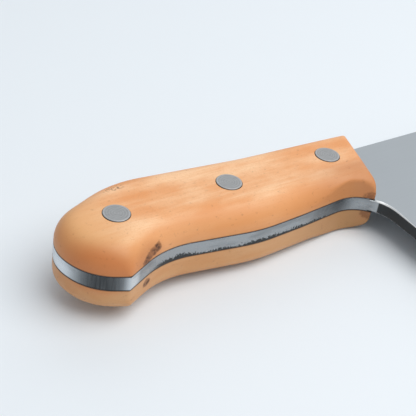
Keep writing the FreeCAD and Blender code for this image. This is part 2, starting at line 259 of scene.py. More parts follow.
class Recipe:
    """A material under construction, with patterns in millimetres round the handle's origin."""

    def __init__(self, name):
        self.material = bpy.data.materials.new(name)
        self.material.use_nodes = True
        self.tree = self.material.node_tree
        self.tree.nodes.clear()
        coordinates = self.node("ShaderNodeTexCoord")
        place = self.node(
            "ShaderNodeMapping",
            {},
            {
                "Vector": coordinates.outputs["Object"],
                "Location": tuple(-c / MM for c in HANDLE_ORIGIN),
                "Scale": (1 / MM,) * 3,
            },
        )
        self.place = place.outputs["Vector"]
        self.x, self.y, self.z = self.parts(self.place)
        self.nx, self.ny, self.nz = self.parts(coordinates.outputs["Normal"])

    def node(self, kind, settings=None, inputs=None):
        """Adds a node: its settings first, then the values or links of its sockets."""
        made = self.tree.nodes.new(kind)
        for key, setting in (settings or {}).items():
            setattr(made, key, setting)
        for key, given in (inputs or {}).items():
            given = given.socket if isinstance(given, Value) else given
            if isinstance(given, bpy.types.NodeSocket):
                self.tree.links.new(given, made.inputs[key])
            else:
                made.inputs[key].default_value = given
        return made

    def parts(self, vector):
        """The three parts of a vector."""
        split = self.node("ShaderNodeSeparateXYZ", {}, {0: vector})
        return tuple(Value(self, split.outputs[i]) for i in range(3))

    def noise(self, stretch, detail=3.0, shift=(0.0, 0.0, 0.0), roughness=0.5):
        """Noise from 0 to 1; stretch gives its cells per millimetre along each axis."""
        laid = self.node(
            "ShaderNodeMapping", {}, {"Vector": self.place, "Location": shift, "Scale": stretch}
        )
        made = self.node(
            "ShaderNodeTexNoise",
            {},
            {"Vector": laid.outputs[0], "Scale": 1.0, "Detail": detail, "Roughness": roughness},
        )
        return Value(self, made.outputs["Fac"])

    def ramp(self, value, low, high):
        """0 below low, 1 above high, and smooth between."""
        made = self.node(
            "ShaderNodeMapRange",
            {"interpolation_type": "SMOOTHSTEP"},
            {"Value": value, "From Min": low, "From Max": high},
        )
        return Value(self, made.outputs["Result"])

    def spot(self, centre, reach):
        """1 at a point and 0 outside its reach, an ellipsoid in millimetres."""
        squares = [
            ((axis - at) / far) * ((axis - at) / far)
            for axis, at, far in zip((self.x, self.y, self.z), centre, reach)
        ]
        return 1.0 - self.ramp(squares[0] + squares[1] + squares[2], 0.0, 1.0)

    def blend(self, factor, first, second):
        """A colour between two others."""
        first = (*first, 1.0) if isinstance(first, tuple) else first
        second = (*second, 1.0) if isinstance(second, tuple) else second
        made = self.node("ShaderNodeMix", {"data_type": "RGBA"}, {0: factor, 6: first, 7: second})
        return made.outputs[2]

    def bump(self, height, strength, depth):
        """A normal from a height; depth is in metres."""
        made = self.node(
            "ShaderNodeBump", {}, {"Strength": strength, "Distance": depth, "Height": height}
        )
        return made.outputs["Normal"]

    def finish(self, sockets):
        """Joins the pattern to the surface and gives the material."""
        shader = self.node("ShaderNodeBsdfPrincipled", {}, sockets)
        self.node("ShaderNodeOutputMaterial", {}, {"Surface": shader.outputs[0]})
        return self.material


# ---------------------------------------------------------------- finishes

# Places along the tang and blade, in millimetres from the handle's origin.
END_OF_GROUND_STRIP = 50.9
END_OF_CHOIL = 62.0
RESIDUE_FROM = -37.0
RESIDUE_TO = 39.0
# Centre, reach and added height of the thicker stretches of residue.
RESIDUE_HEAPS = (((-31.0, -12.0, 0.0), 13.0, 0.75), ((8.0, -14.0, 0.0), 16.0, 0.5))
# Painted reflection: bright spots on the tang edge where it mirrors the bright table.
BRIGHT_REFLECTION_AT_BUTT = (-62.0, 0.0, 0.0)
BRIGHT_REFLECTION_AT_BEAK = (-45.5, -18.5, 0.0)
# Painted reflection: dark patches on the tang edge where it mirrors the shadowed table.
DARK_REFLECTION_AT_BUTT = (-53.5, -13.5, 0.0)
DARK_REFLECTION_AT_NOTCH = (33.5, -15.0, 0.0)
TANG_EDGE = HALF_STEEL / MM
# Painted highlight: the colour given to the choil's ground arris.
ARRIS_HIGHLIGHT = (0.95, 0.96, 0.96)


def blade_steel(settings):
    """Satin cheeks, a cross-ground tang edge, and forge scale left black on the choil."""
    r = Recipe("blade_steel")
    steel, black = tuple(settings.steel), tuple(settings.forge_scale)
    wall = 1.0 - r.ramp(abs(r.nz), 0.35, 0.75)
    brushing = r.noise((0.03, 2.2, 2.2), 5.0)
    cross_grind = r.noise((2.6, 2.6, 0.12), 4.0)
    cloud = r.noise((0.05, 0.05, 0.2), 3.0)
    pits = r.ramp(r.noise((0.9, 0.9, 0.9), 6.0, roughness=0.7), 0.63, 0.72)
    # forge scale left in the choil, beyond the ground strip
    choil = wall * r.ramp(r.x, END_OF_GROUND_STRIP - 0.1, END_OF_GROUND_STRIP + 0.1)
    choil = choil * (1.0 - r.ramp(r.x, END_OF_CHOIL, END_OF_CHOIL + 4.0))
    choil = choil * (1.0 - r.ramp(r.y, -12.0, -10.0))
    # ragged remains of scale along the lower arris of the tang
    ragged = r.noise((1.9, 1.9, 1.5), 5.0, roughness=0.7)
    patchy = r.noise((0.10, 0.10, 0.0), 2.0, shift=(3.7, 0.0, 0.0))
    height = (ragged - 0.46) * 5.6 + (patchy - 0.5) * 3.0 + 0.35
    for centre, reach, thick in RESIDUE_HEAPS:
        height = height + r.spot(centre, (reach, reach, 20.0)) * thick
    along = r.ramp(r.x, RESIDUE_FROM - 3, RESIDUE_FROM + 6)
    along = along * (1.0 - r.ramp(r.x, RESIDUE_TO - 8, RESIDUE_TO + 3))
    above_arris = r.z + TANG_EDGE
    belly_side = 1.0 - r.ramp(r.y, -6.0, -2.0)
    residue = wall * along * belly_side * (1.0 - r.ramp(above_arris - height, -0.08, 0.14))
    dark = choil.highest(residue)
    on_tang = wall * (1.0 - r.ramp(r.x, 49.0, 51.0))
    # painted reflection: the tang edge darkened near the butt and the notch, where it mirrors the
    # shadowed table
    dark_reflection = r.spot(DARK_REFLECTION_AT_BUTT, (10.0, 9.0, 20.0))
    dark_reflection = dark_reflection.highest(r.spot(DARK_REFLECTION_AT_NOTCH, (12.0, 8.0, 20.0)) * 0.5)
    faint = r.ramp(cloud, 0.46, 0.66) * 0.30
    stain_and_dark_reflection = on_tang * faint.highest(dark_reflection * (0.72 + cross_grind * 0.4))
    grime = on_tang * r.ramp(abs(r.z), TANG_EDGE - 0.30, TANG_EDGE - 0.08)
    # painted reflection: the tang edge lightened at the butt end and by the beak, where it mirrors
    # the bright table
    bright_reflection = r.spot(BRIGHT_REFLECTION_AT_BUTT, (5.0, 9.0, 20.0))
    bright_reflection = bright_reflection.highest(r.spot(BRIGHT_REFLECTION_AT_BEAK, (4.0, 4.0, 20.0)))
    colour = r.blend(brushing * 0.22, steel, tuple(c * 0.78 for c in steel))
    colour = r.blend(wall * (0.45 + cross_grind * 0.5), colour, tuple(c * 0.82 for c in steel))
    # the painted bright reflections on the tang edge
    colour = r.blend(bright_reflection * on_tang * 0.8, colour, tuple(min(1.0, c * 1.8) for c in steel))
    # faint cloudy stains, together with the painted dark reflections near the butt and the notch
    colour = r.blend(stain_and_dark_reflection, colour, tuple(c * 0.10 for c in steel))
    colour = r.blend(pits * wall * 0.5, colour, tuple(c * 0.3 for c in steel))
    colour = r.blend(grime * 0.8, colour, tuple(c * 0.08 for c in steel))
    # painted highlight: the choil's ground arris, past the wood, is lightened to nearly white
    arris = r.ramp(abs(r.nz), 0.45, 0.8) * (1.0 - r.ramp(abs(r.nz), 0.93, 0.99))
    colour = r.blend(arris * r.ramp(r.x, 50.0, 51.0), colour, ARRIS_HIGHLIGHT)
    colour = r.blend(dark, colour, black)
    relief = brushing * (1.0 - wall) * 0.35 + cross_grind * wall
    relief = relief - pits * wall * 0.6 + dark * ragged * 1.5
    return r.finish(
        {
            "Base Color": colour,
            "Metallic": 1.0 - dark * 0.85,
            "Roughness": 0.34 + cloud * 0.10 - wall * 0.12 + dark * 0.36,
            "Normal": r.bump(relief, 0.35, 0.03 * MM),
        }
    )


# Marks and painted shade on the wood, in millimetres from the handle's origin.
SEAM_HEIGHT = TANG_EDGE + 0.2
KNOT_LINE = (
    (-39.9, -15.6, 3.3),
    (-38.6, -14.8, 4.5),
    (-36.6, -13.8, 5.2),
    (-34.9, -13.2, 5.6),
)
NOTCH_SHADE_AND_END_GRAIN = ((49.6, -17.0, 3.4), (49.0, -18.0, -3.6))
UNDER_BUTT = (-56.0, -14.0, 3.5)
KNOT_BELOW = (-38.7, -15.0, -5.3)
SPECKS = (-36.2, 12.3, 11.2)


def handle_wood(settings):
    """Pale close-grained wood, oiled and sanded, darker where the fibres are cut across, with
    painted shade on the flanks, round the butt and at the notch.
    """
    r = Recipe("handle_wood")
    bands = r.noise((0.016, 0.22, 0.30), 3.0)
    fibres = r.noise((0.07, 2.6, 2.6), 4.0, roughness=0.6)
    blotch = r.noise((0.045, 0.085, 0.085), 3.0, shift=(11.0, 4.0, 2.0))
    flecks = r.ramp(r.noise((0.35, 3.2, 3.2), 2.0), 0.66, 0.74)
    pores = r.noise((2.4, 2.4, 2.4), 3.0)
    tone = r.ramp(bands * 0.55 + blotch * 0.75, 0.48, 0.86)
    colour = r.blend(tone, tuple(settings.pale), tuple(settings.warm))
    colour = r.blend((fibres - 0.38).highest(0.0) * 1.1, colour, tuple(settings.warm))
    open_pores = (pores - 0.5).highest(0.0) * 1.2
    colour = r.blend(open_pores, colour, tuple(c * 0.75 for c in settings.warm))
    colour = r.blend(flecks * 0.16, colour, tuple(c * 0.6 for c in settings.warm))
    upper = r.ramp(r.z, -1.0, 1.0)
    # painted shade: faces sloping away from the top get the warmer, darker wood colour, the upper
    # scale's most
    flank_shade = (1.0 - r.ramp(abs(r.nz), 0.72, 0.995)) * (0.20 + upper * 0.62)
    colour = r.blend(flank_shade, colour, tuple(settings.warm))
    to_butt = 1.0 - r.ramp(r.x + blotch * 8.0, -52.0, -32.0)
    to_front = r.ramp(r.x + blotch * 8.0, 18.0, 52.0) * (1.0 - r.ramp(r.y, -9.0, -3.0))
    colour = r.blend(to_butt * (0.25 + upper * 0.65), colour, tuple(settings.honey))
    colour = r.blend(to_front * (0.45 + blotch * 0.5), colour, tuple(settings.end_grain))
    in_shade = r.ramp(r.x, 12.0, 50.0) * (1.0 - r.ramp(r.y, -10.0, -4.0)) * (1.0 - upper * 0.6)
    shaded = (1.0 - upper) * (0.62 + r.ramp(r.x, 0.0, 48.0) * 0.38)
    colour = r.blend(shaded, colour, tuple(c * 0.74 for c in settings.honey))
    colour = r.blend(in_shade * 0.6, colour, tuple(c * 0.55 for c in settings.honey))
    # painted shade: the butt's belly side is darkened towards the end-grain colour
    butt_shade = r.spot(UNDER_BUTT, (19.0, 16.0, 9.5)) * (0.85 + blotch * 0.6)
    colour = r.blend(butt_shade, colour, tuple(settings.end_grain))
    # faces turned towards either end get the end-grain colour: real dark end grain, and painted
    # shade on the butt's side that faces away from the light
    end_grain_and_shade = r.ramp(abs(r.nx), 0.30, 0.98) * (0.55 + blotch * 0.6) * (0.45 + upper * 0.75)
    colour = r.blend(end_grain_and_shade * 0.62, colour, tuple(settings.end_grain))
    smudge = r.noise((0.6, 0.8, 0.8), 5.0, roughness=0.6)
    knot = r.spot(KNOT_BELOW, (2.6, 2.6, 2.2))
    for centre in KNOT_LINE:
        knot = knot.highest(r.spot(centre, (2.8, 2.6, 2.2)))
    halo = r.spot(KNOT_LINE[1], (8.0, 7.0, 6.0))
    colour = r.blend(halo * 0.45, colour, tuple(c * 0.7 for c in settings.end_grain))
    stained = r.ramp(knot + (smudge - 0.5) * 1.4, 0.25, 0.85)
    colour = r.blend(stained * 0.75, colour, tuple(c * 0.33 for c in settings.end_grain))
    specks = r.spot(SPECKS, (5.0, 2.2, 3.0)) * r.ramp(r.noise((1.0, 1.0, 1.0), 3.0), 0.50, 0.62)
    marks = r.ramp(knot + (smudge - 0.5) * 2.2, 0.78, 1.35).highest(specks * 0.8)
    # dark spots at both scales' front corners by the notch: dark end grain, and painted shade where
    # the notch wall turns away from the light
    for corner in NOTCH_SHADE_AND_END_GRAIN:
        shade_and_end_grain = r.ramp(r.spot(corner, (4.0, 3.6, 3.2)) + (smudge - 0.5) * 2.0, 0.15, 1.1)
        colour = r.blend(shade_and_end_grain * 0.75, colour, tuple(c * 0.35 for c in settings.end_grain))
    seam_line = 1.0 - r.ramp(abs(r.z), SEAM_HEIGHT, SEAM_HEIGHT + 0.40)
    seam_line = seam_line * (0.45 + fibres * 0.6)
    colour = r.blend(seam_line, colour, tuple(c * 0.22 for c in settings.end_grain))
    colour = r.blend(marks * 0.82, colour, tuple(settings.knot))
    relief = fibres * 0.8 + pores * 0.5 - marks * 0.4
    return r.finish(
        {
            "Base Color": colour,
            "Roughness": 0.44 + fibres * 0.14 + marks * 0.2,
            "IOR": 1.45,
            "Coat Weight": 0.10,
            "Coat Roughness": 0.35,
            "Normal": r.bump(relief, 0.30, 0.05 * MM),
        }
    )


def seam_cement():
    """Dark cement, dull and a little uneven."""
    r = Recipe("seam_cement")
    lumps = r.noise((0.5, 0.5, 0.5), 4.0)
    return r.finish(
        {
            "Base Color": r.blend(lumps, (0.012, 0.011, 0.010), (0.06, 0.05, 0.04)),
            "Roughness": 0.62 + lumps * 0.25,
            "Normal": r.bump(lumps, 0.4, 0.05 * MM),
        }
    )


TURNING_STEP = 0.8


def rivet_steel(settings):
    """Turned steel heads with a painted highlight round each crown's edge and painted shade on the
    rounded rim.
    """
    r = Recipe("rivet_steel")
    steel = tuple(settings.steel)
    smear = r.noise((0.5, 1.6, 0.6), 4.0)
    nicks = r.ramp(r.noise((1.6, 1.6, 1.6), 5.0, roughness=0.7), 0.62, 0.72)
    # the steep faces of the rounded rim, which take painted shade below
    side = 1.0 - r.ramp(abs(r.nz), 0.75, 0.98)
    colour = r.blend(smear * 0.45, steel, tuple(c * 0.72 for c in steel))
    colour = r.blend(nicks * 0.6, colour, tuple(c * 0.4 for c in steel))
    radius = 100.0
    for place in PLACES:
        centre = (middle(POSTS[place]) - HANDLE_ORIGIN) / MM
        far = ((r.x - centre.x) * (r.x - centre.x) + (r.y - centre.y) * (r.y - centre.y)).root()
        radius = far.lowest(radius)
    rings = (radius * (math.tau / TURNING_STEP)).sine() * 0.5 + 0.5
    colour = r.blend(rings * smear * 0.9, colour, tuple(c * 0.62 for c in steel))
    # painted highlight on a ring at each crown's edge, then painted shade on the rounded rim
    rim = r.ramp(radius, HEAD_RADIUS / MM - 0.75, HEAD_RADIUS / MM - 0.35)
    colour = r.blend(rim * 0.30, colour, tuple(min(1.0, c * 1.6) for c in steel))
    colour = r.blend(side * 0.8, colour, tuple(c * 0.16 for c in steel))
    return r.finish(
        {
            "Base Color": colour,
            "Metallic": 1.0,
            "Roughness": 0.36 + smear * 0.16,
            "Normal": r.bump(smear - nicks * 0.7, 0.25, 0.03 * MM),
        }
    )


# ---------------------------------------------------------------- mesh helpers

SAME_POINT = 1e-6
FLAT_ENOUGH = math.radians(0.2)
SHARP_FROM = math.radians(38)
UNBROKEN_FROM = math.radians(48)
KNIFE_EDGE = math.radians(120)


def merged_copy(node):
    """A merged copy of a CAD node's triangles."""
    work = bmesh.new()
    work.from_mesh(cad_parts[node].data)
    bmesh.ops.remove_doubles(work, verts=work.verts, dist=SAME_POINT)
    bmesh.ops.dissolve_degenerate(work, edges=work.edges, dist=SAME_POINT / 10)
    return work


def edges_between(work, least, most):
    """The edges whose faces meet at an angle between the two."""
    return [e for e in work.edges if e.is_manifold and least < e.calc_face_angle(0.0) < most]


def new_piece(name, work, material, slot, *nodes):
    """Turns worked geometry into a shaded piece that stands for CAD nodes."""
    mesh = bpy.data.meshes.new(name)
    work.to_mesh(mesh)
    work.free()
    return place_piece(name, mesh, material, slot, *nodes)


def place_piece(name, mesh, material, slot, *nodes):
    """Shades a mesh and lets it ride on the body in place of CAD nodes."""
    mesh.shade_smooth()
    mesh.set_sharp_from_angle(angle=SHARP_FROM)
    if not mesh.materials:
        mesh.materials.append(material)
    piece = bpy.data.objects.new(name, mesh)
    bpy.context.scene.collection.objects.link(piece)
    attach(piece, BODY)
    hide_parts(*nodes)
    return piece


def evaluated(holder):
    """The plain mesh that an object's modifiers make; the object is used up."""
    bpy.context.scene.collection.objects.link(holder)
    shown = bpy.context.evaluated_depsgraph_get()
    mesh = bpy.data.meshes.new_from_object(holder.evaluated_get(shown), depsgraph=shown)
    bpy.data.objects.remove(holder)
    return mesh


# ---------------------------------------------------------------- rivets by rule


class RuleTree:
    """A geometry tree under construction."""

    def __init__(self, name):
        self.tree = bpy.data.node_groups.new(name, "GeometryNodeTree")
        self.tree.interface.new_socket(
            "Geometry", in_out="OUTPUT", socket_type="NodeSocketGeometry"
        )
        self.identifiers = {}
        self.given = self.tree.nodes.new("NodeGroupInput")

    def ask(self, name, kind, default=None):
        """Adds a named input."""
        made = self.tree.interface.new_socket(name, in_out="INPUT", socket_type=kind)
        if default is not None:
            made.default_value = default
        self.identifiers[name] = made.identifier

    def node(self, kind, settings=None, inputs=None):
        """Adds a node: its settings first, then its sockets."""
        made = self.tree.nodes.new(kind)
        for key, setting in (settings or {}).items():
            setattr(made, key, setting)
        for key, given in (inputs or {}).items():
            given = given.socket if isinstance(given, Value) else given
            if isinstance(given, bpy.types.NodeSocket):
                self.tree.links.new(given, made.inputs[key])
            else:
                made.inputs[key].default_value = given
        return made

    def value(self, name):
        """A named input as a number."""
        return Value(self, self.given.outputs[name])

    def sine(self, value, operation="SINE"):
        """The sine, or another function of one number."""
        made = self.node("ShaderNodeMath", {"operation": operation}, {0: value})
        return Value(self, made.outputs[0])


CROWN_ROWS = 26
ROUND_ROWS = 4
SEGMENTS = 72
LENGTHS = ("Head radius", "Head thickness", "Edge round", "Ring depth", "Ring step",
           "Shank radius", "Shank length", "Bore radius", "Bore depth")


def rivet_rule():
    """Three turned rivet halves in a row: each is one profile swept once round its axis."""
    rule = RuleTree("turned_rivets")
    for name in LENGTHS:
        rule.ask(name, "NodeSocketFloat", 0.0)
    rule.ask("Seed", "NodeSocketInt", 1)
    rule.ask("First", "NodeSocketVector")
    rule.ask("Step", "NodeSocketVector")
    rule.ask("Turn", "NodeSocketRotation")
    rule.ask("Material", "NodeSocketMaterial")
    rows = CROWN_ROWS + ROUND_ROWS + 6
    sheet = rule.node(
        "GeometryNodeMeshGrid",
        {},
        {"Size X": float(rows), "Size Y": 1.0, "Vertices X": rows + 1, "Vertices Y": SEGMENTS + 1},
    )
    split = rule.node(
        "ShaderNodeSeparateXYZ", {}, {0: rule.node("GeometryNodeInputPosition").outputs[0]}
    )
    row = Value(rule, split.outputs[0]) + rows / 2
    angle = (Value(rule, split.outputs[1]) + 0.5) * math.tau

    def stage(start, length):
        """0 before a stage of the profile, 1 after it."""
        part = (row - float(start)) / float(length)
        return part.lowest(1.0).highest(0.0)

    crown = stage(0, CROWN_ROWS)
    turn = stage(CROWN_ROWS, ROUND_ROWS) * (math.pi / 2)
    after = CROWN_ROWS + ROUND_ROWS
    wall, under, shank, lip, bore, floor = (stage(after + i, 1) for i in range(6))
    head, thick, easing = (rule.value(n) for n in LENGTHS[:3])
    shank_r, shank_l, bore_r, bore_d = (rule.value(n) for n in LENGTHS[5:])
    radius = (head - easing) * crown + easing * rule.sine(turn) - (head - shank_r) * under
    radius = radius - (shank_r - bore_r) * lip - bore_r * floor
    ring = 1.0 - rule.sine((head - easing) * crown / rule.value("Ring step") * math.tau, "COSINE")
    on_crown = 1.0 - stage(CROWN_ROWS - 4, 3)
    height = 0.0 - rule.value("Ring depth") * ring * 0.5 * on_crown
    height = height - easing * (1.0 - rule.sine(turn, "COSINE")) - (thick - easing) * wall
    height = height - shank_l * shank + bore_d * bore
    spot = rule.node(
        "ShaderNodeCombineXYZ",
        {},
        {0: radius * rule.sine(angle, "COSINE"), 1: radius * rule.sine(angle), 2: height},
    )
    turned = rule.node(
        "GeometryNodeSetPosition",
        {},
        {"Geometry": sheet.outputs["Mesh"], "Position": spot.outputs[0]},
    )
    closed = rule.node(
        "GeometryNodeMergeByDistance", {}, {"Geometry": turned.outputs[0], "Distance": SAME_POINT}
    )
    line = rule.node(
        "GeometryNodeMeshLine",
        {"mode": "OFFSET"},
        {
            "Count": len(PLACES),
            "Start Location": rule.given.outputs["First"],
            "Offset": rule.given.outputs["Step"],
        },
    )
    spin = rule.node(
        "FunctionNodeRandomValue",
        {"data_type": "FLOAT"},
        {"Seed": rule.given.outputs["Seed"], 2: 0.0, 3: math.tau},
    )
    spun = rule.node(
        "FunctionNodeAxisAngleToRotation", {}, {"Axis": (0, 0, 1), "Angle": spin.outputs[1]}
    )
    own_turn = rule.node(
        "FunctionNodeRotateRotation",
        {"rotation_space": "LOCAL"},
        {0: rule.given.outputs["Turn"], 1: spun.outputs[0]},
    )
    set_out = rule.node(
        "GeometryNodeInstanceOnPoints",
        {},
        {
            "Points": line.outputs[0],
            "Instance": closed.outputs[0],
            "Rotation": own_turn.outputs[0],
        },
    )
    real = rule.node("GeometryNodeRealizeInstances", {}, {0: set_out.outputs[0]})
    painted = rule.node(
        "GeometryNodeSetMaterial",
        {},
        {"Geometry": real.outputs[0], "Material": rule.given.outputs["Material"]},
    )
    rule.node("NodeGroupOutput", {}, {0: painted.outputs[0]})
    return rule


def run_rule(rule, name, values):
    """Gives the plain mesh that a rule makes from its values."""
    seed_mesh = bpy.data.meshes.new(name)
    holder = bpy.data.objects.new(name + "_rule", seed_mesh)
    bpy.context.scene.collection.objects.link(holder)
    modifier = holder.modifiers.new("rule", "NODES")
    modifier.node_group = rule.tree
    for key, given in values.items():
        modifier[rule.identifiers[key]] = given
    holder.update_tag()
    shown = bpy.context.evaluated_depsgraph_get()
    mesh = bpy.data.meshes.new_from_object(holder.evaluated_get(shown), depsgraph=shown)
    holder.modifiers.remove(modifier)
    bpy.data.objects.remove(holder)
    return mesh


def outward(mesh):
    """Merges doubles and points every face outwards."""
    work = bmesh.new()
    work.from_mesh(mesh)
    bmesh.ops.remove_doubles(work, verts=work.verts, dist=SAME_POINT)
    bmesh.ops.recalc_face_normals(work, faces=work.faces)
    work.to_mesh(mesh)
    work.free()
    return mesh


# ---------------------------------------------------------------- operators


class CLEAVER_OT_blade(bpy.types.Operator):
    """Makes the blade and tang, with every arris broken by a small flat"""

    bl_idname = "cleaver.blade"
    bl_label = "Blade"

    def execute(self, context):
        settings = context.scene.cleaver_blade
        work = merged_copy("blade")
        bmesh.ops.dissolve_limit(work, angle_limit=FLAT_ENOUGH, verts=work.verts, edges=work.edges)
        corner = HANDLE_ORIGIN + CHOIL_CORNER * MM
        choil = [
            e
            for e in edges_between(work, SHARP_FROM, KNIFE_EDGE)
            if all(v.co.x > corner.x and v.co.y < corner.y for v in e.verts)
            and sum(abs(f.normal.z) > IS_FLAT for f in e.link_faces) == 1
        ]
        bmesh.ops.bevel(
            work, geom=choil, offset=settings.choil_arris, segments=1, profile=0.5, affect="EDGES",
            clamp_overlap=True,
        )
        bmesh.ops.recalc_face_normals(work, faces=work.faces)
        arrises = edges_between(work, UNBROKEN_FROM, KNIFE_EDGE)
        bmesh.ops.bevel(
            work, geom=arrises, offset=settings.arris, segments=2, profile=0.5, affect="EDGES",
            clamp_overlap=True,
        )
        bmesh.ops.triangulate(work, faces=work.faces)
        piece = new_piece("blade_and_tang", work, blade_steel(settings), "steel", "blade")
        self.keep_flat(piece.data)
        return {"FINISHED"}

    def keep_flat(self, mesh):
        """Stops the shading of the arrises from spreading over the flats beside them."""
        faces_of = {}
        for face in mesh.polygons:
            for key in face.edge_keys:
                faces_of.setdefault(key, []).append(face.normal)
        for edge in mesh.edges:
            normals = faces_of[tuple(sorted(edge.vertices))]
            walls = [abs(n.z) < 1 - IS_FLAT for n in normals]
            flat = any(walls) or any(abs(n.z) > IS_FLAT for n in normals)
            if len(normals) != 2 or not flat or all(walls):
                continue
            if normals[0].angle(normals[1]) > FLAT_EDGE_FROM:
                edge.use_edge_sharp = True


# The choil starts below and in front of this point, in millimetres.
CHOIL_CORNER = Vector((50.6, -12.0, 0.0))
IS_FLAT = 0.97
FLAT_EDGE_FROM = math.radians(4)

# Sizes of the rivets in millimetres; the lower halves are sleeves, bored for the pin.
SHANK = {"upper": 2.0, "lower": 3.0}
PIN_RADIUS = 2.0
HEAD_THICK = 1.8
HEAD_CROWN = 0.3

# Where two roundings of the upper scale meet: place and reach in millimetres.
BLENDS = ((Vector((-45.0, -18.0, 7.0)), 15.0), (Vector((-42.0, 14.0, 8.0)), 24.0))
SANDING_PASSES = 5
BLENDING_PASSES = 160
SEAM_MARGIN = 0.8 * MM
SEAM_FADE = 3.5 * MM
SPARE = 3.0 * MM
PLUG_RADIUS = 4.75 * MM
BORE_SEGMENTS = 96


class CLEAVER_OT_scales(bpy.types.Operator):
    """Makes the two wooden scales: sanded smooth, cut flat at the tang and bored for the rivets"""

    bl_idname = "cleaver.scales"
    bl_label = "Scales"

    def execute(self, context):
        settings = context.scene.cleaver_handle
        wood = handle_wood(settings)
        for side, up in (("upper", 1), ("lower", -1)):
            low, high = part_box(f"{side}_scale")
            seam, face = (low.z, high.z) if up > 0 else (high.z, low.z)
            mesh = self.even_block(side, up, seam, face, settings.facet)
            self.sand(mesh, BLENDS if up > 0 else (), seam, up)
            self.cut_seam(mesh, seam, up)
            mesh = self.bore(mesh, up, seam, face, settings.seat_gap)
            place_piece(f"{side}_wood", mesh, wood, "wood", f"{side}_scale")
        return {"FINISHED"}

    def even_block(self, side, up, seam, face, facet):
        """The scale with its bores filled and some spare wood past the seam, in even facets."""
        work = merged_copy(f"{side}_scale")
        for vert in work.verts:
            if abs(vert.co.z - seam) < SAME_POINT * 10:
                vert.co.z -= up * SPARE
        for place in PLACES:
            self.post(work, middle(POSTS[place]), PLUG_RADIUS, seam - up * SPARE, face)
        mesh = bpy.data.meshes.new(f"{side}_block")
        work.to_mesh(mesh)
        work.free()
        block = bpy.data.objects.new(f"{side}_block", mesh)
        remesh = block.modifiers.new("even", "REMESH")
        remesh.mode = "VOXEL"
        remesh.voxel_size = facet
        return evaluated(block)

    def post(self, work, centre, radius, start, end):
        """Adds a round post between two heights."""
        bmesh.ops.create_cone(
            work,
            cap_ends=True,
            segments=BORE_SEGMENTS,
            radius1=radius,
            radius2=radius,
            depth=abs(end - start),
            matrix=Matrix.Translation((centre.x, centre.y, (start + end) / 2)),
        )

    def sand(self, mesh, blends, seam, up):
        """Smooths the whole surface lightly, and strongly where two roundings meet."""
        count = len(mesh.vertices)
        spots = np.empty(count * 3)
        mesh.vertices.foreach_get("co", spots)
        spots = spots.reshape(-1, 3)
        ends = np.empty(len(mesh.edges) * 2, int)
        mesh.edges.foreach_get("vertices", ends)
        first, second = ends.reshape(-1, 2).T
        joined = np.concatenate((first, second))
        others = np.concatenate((second, first))
        neighbours = np.bincount(joined, minlength=count)
        weight = np.zeros(count)
        for place, reach in blends:
            offsets = spots - np.array(HANDLE_ORIGIN + place * MM)
            far = np.linalg.norm(offsets, axis=1) / (reach * MM)
            weight = np.maximum(weight, np.clip(1.5 - 1.5 * far, 0, 1))
        # the seam's outline stays where the tang's is
        above_seam = (np.abs(spots[:, 2] - seam) - SEAM_MARGIN) / SEAM_FADE
        weight *= np.clip(above_seam, 0, 1) * ((spots[:, 2] > seam) == (up > 0))

        def relaxed(values, passes, share):
            """Each vertex's values drawn towards its neighbours', several times over."""
            values = values.copy()
            for _ in range(passes):
                sums = [np.bincount(joined, values[others, axis], count) for axis in range(3)]
                values += (np.stack(sums, 1) / neighbours[:, None] - values) * share
            return values

        spots = relaxed(spots, SANDING_PASSES, 0.5)
        if blends:
            share = 0.5 * weight[:, None]
            smooth = relaxed(spots, BLENDING_PASSES, share)
            # the even part of the loss is given back, so that the block keeps its size
            spots = smooth - relaxed(smooth - spots, BLENDING_PASSES, share)
        mesh.vertices.foreach_set("co", spots.ravel())
        mesh.update()

    def cut_seam(self, mesh, seam, up):
        """Cuts the spare wood off flat at the seam."""
        work = bmesh.new()
        work.from_mesh(mesh)
        cut = bmesh.ops.bisect_plane(
            work,
            geom=[*work.verts, *work.edges, *work.faces],
            plane_co=(0, 0, seam),
            plane_no=(0, 0, -up),
            clear_outer=True,
        )
        rim = [e for e in cut["geom_cut"] if isinstance(e, bmesh.types.BMEdge)]
        filled = bmesh.ops.holes_fill(work, edges=rim, sides=0)
        bmesh.ops.triangulate(work, faces=filled["faces"])
        bmesh.ops.recalc_face_normals(work, faces=work.faces)
        work.to_mesh(mesh)
        work.free()

    def bore(self, mesh, up, seam, face, gap):
        """Bores the three seats and the holes for the sleeves."""
        block = bpy.data.objects.new("bored_block", mesh)
        tools = []
        under_head = face - up * (HEAD_THICK * MM - HEAD_CROWN * MM)
        cuts = ((HEAD_RADIUS + gap, under_head), (SHANK["lower"] * MM, seam - up * SPARE))
        for radius, start in cuts:
            work = bmesh.new()
            for place in PLACES:
                self.post(work, middle(POSTS[place]), radius, start, face + up * SPARE)
            tool_mesh = bpy.data.meshes.new("cutter")
            work.to_mesh(tool_mesh)
            work.free()
            tool = bpy.data.objects.new("cutter", tool_mesh)
            bpy.context.scene.collection.objects.link(tool)
            tools.append(tool)
            cut = block.modifiers.new("bore", "BOOLEAN")
            cut.operation = "DIFFERENCE"
            cut.solver = "EXACT"
            cut.object = tool
        done = evaluated(block)
        for tool in tools:
            bpy.data.objects.remove(tool)
        return done


class CLEAVER_OT_cement(bpy.types.Operator):
    """Gives the cement between tang and scales its dark finish"""

    bl_idname = "cleaver.cement"
    bl_label = "Cement"

    def execute(self, context):
        cement = seam_cement()
        for side in ("upper", "lower"):
            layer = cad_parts[f"{side}_bedding"]
            for slot in layer.material_slots:
                slot.link = "OBJECT"
                slot.material = cement
            if not layer.material_slots:
                layer.data.materials.append(cement)
        return {"FINISHED"}


